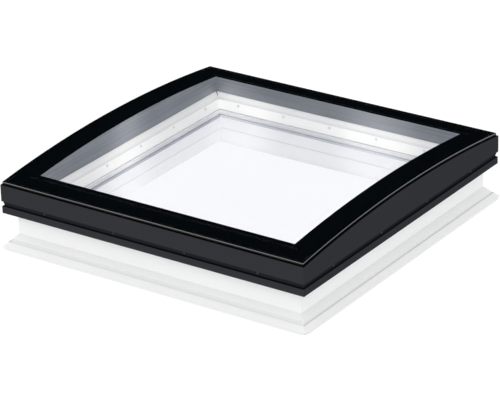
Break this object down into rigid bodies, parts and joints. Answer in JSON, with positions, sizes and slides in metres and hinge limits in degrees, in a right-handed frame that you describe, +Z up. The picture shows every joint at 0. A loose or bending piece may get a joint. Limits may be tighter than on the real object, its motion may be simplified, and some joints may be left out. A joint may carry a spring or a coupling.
{
  "type": "roof skylight",
  "caption": "Fixed flat-roof skylight: white insulated kerb with a base flange, double-glazed unit inside, and a dark aluminium weather cover carrying an arched, black-bordered pane.",
  "frame": {"origin": "on the roof surface, at the centre of the opening", "axes": "+Z up out of the roof, X along the straight glass edges, Y along the arched glass edges"},
  "size_m": [1.08, 1.08, 0.2513],
  "materials": {
    "white_plastic": "satin white extruded plastic",
    "core_foam": "white insulating foam",
    "black_rubber": "matt black rubber",
    "screw_steel": "plain steel",
    "block_plastic": "moulded plastic",
    "unit_glass": "clear float glass",
    "spacer_grey": "pale grey warm-edge spacer",
    "black_sealant": "black silicone sealant",
    "grey_gasket": "mid grey rubber",
    "bare_aluminium": "mill finish with drawing lines",
    "dark_paint": "matt powder coat, dark grey",
    "dark_screw": "dark coated screw",
    "black_enamel": "black fired enamel seen through glass",
    "clear_glass": "clear arched float glass"
  },
  "bodies": {
    "root": {"kerb_frame": "white_plastic", "kerb_core": "core_foam", "joint_seal": "black_rubber", "glazing_frame": "white_plastic", "frame_screws": "screw_steel", "bedding_gasket": "grey_gasket", "setting_blocks": "block_plastic", "inner_pane": "unit_glass", "spacer_bar": "spacer_grey", "edge_sealant": "black_sealant", "outer_pane": "unit_glass", "glazing_gasket": "grey_gasket", "bead_right": "white_plastic", "bead_rear": "white_plastic", "bead_left": "white_plastic", "bead_front": "white_plastic", "bead_screws": "screw_steel", "cover_seal": "black_rubber", "kerb_brackets": "bare_aluminium", "bracket_screws": "screw_steel", "carrier_right": "bare_aluminium", "carrier_rear": "bare_aluminium", "carrier_left": "bare_aluminium", "carrier_front": "bare_aluminium", "corner_keys": "bare_aluminium", "cladding_right": "dark_paint", "cladding_rear": "dark_paint", "cladding_left": "dark_paint", "cladding_front": "dark_paint", "cladding_screws": "dark_screw", "glass_bond": "black_sealant", "weather_seal": "black_sealant", "black_border": "black_enamel", "cover_glass": "clear_glass"}
  },
  "joints": []
}
